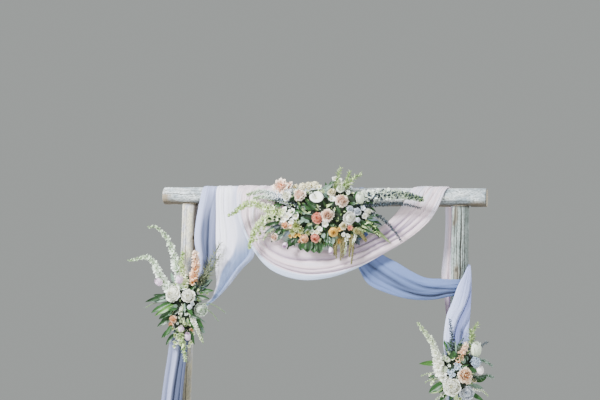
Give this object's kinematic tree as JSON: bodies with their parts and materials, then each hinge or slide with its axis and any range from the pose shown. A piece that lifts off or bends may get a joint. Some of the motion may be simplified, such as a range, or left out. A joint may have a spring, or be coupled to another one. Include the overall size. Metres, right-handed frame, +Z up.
{
  "type": "wedding arch",
  "caption": "Open log-frame wedding arch: two posts and a beam, draped with chiffon swags and falls and dressed with sprays of flowers.",
  "frame": {"origin": "centre of the left post's flat foot face, at ground level", "axes": "+X along the beam from the left post to the right post, +Y towards the back, +Z up"},
  "size_m": [2.2838, 0.3272, 2.5014],
  "materials": {
    "whitewashed_log": "limewashed, weathered and cracked",
    "lavender_chiffon": "sheer chiffon",
    "white_chiffon": "sheer chiffon",
    "blush_chiffon": "sheer chiffon",
    "dusty_blue_chiffon": "sheer chiffon",
    "foliage": "matt leaves and stems",
    "silver_green": "matt buds and florets",
    "white_petal": "soft petals",
    "peach_petal": "soft petals",
    "pink_petal": "soft petals",
    "coral_petal": "soft petals",
    "yellow_petal": "soft petals",
    "blue_petal": "soft petals",
    "dark_spike": "small dark buds",
    "amaranth": "soft hanging tassels"
  },
  "bodies": {
    "root": {"left_post": "whitewashed_log", "right_post": "whitewashed_log", "top_beam": "whitewashed_log", "lavender_beam_fall": "lavender_chiffon", "white_tied_curtain": "white_chiffon", "left_post_drape": "lavender_chiffon", "blush_swag": "blush_chiffon", "blush_back_tail": "blush_chiffon", "blue_swag": "dusty_blue_chiffon", "right_post_drape": "lavender_chiffon", "centre_foliage": "foliage", "centre_pink_carnation": "pink_petal", "centre_cream_hydrangea": "white_petal", "centre_white_calla": "white_petal", "centre_peach_carnation": "pink_petal", "centre_white_tulip": "white_petal", "centre_coral_rose": "coral_petal", "centre_orange_rose": "peach_petal", "centre_yellow_ranunculus": "yellow_petal", "centre_white_stock": "white_petal", "centre_left_snapdragon": "silver_green", "centre_left_low_snapdragon": "silver_green", "centre_left_blue_spray": "dark_spike", "centre_right_snapdragon": "silver_green", "centre_right_dark_spike": "dark_spike", "centre_top_sprig": "silver_green", "centre_amaranth_drip": "amaranth", "left_foliage": "foliage", "left_white_rose_outer": "white_petal", "left_white_rose_upper": "white_petal", "left_white_rose_lower": "white_petal", "left_arching_white_spike": "silver_green", "left_low_white_spike": "silver_green", "left_peach_stock": "peach_petal", "left_rosemary_twig": "foliage", "left_hanging_snapdragon": "white_petal", "left_green_tail": "silver_green", "right_foliage": "foliage", "right_white_rose": "white_petal", "right_peach_carnation": "pink_petal", "right_white_tulip": "white_petal", "right_blue_hydrangea": "blue_petal", "right_white_stock": "white_petal", "right_peach_stock": "peach_petal", "right_side_sprig": "silver_green"}
  },
  "joints": []
}
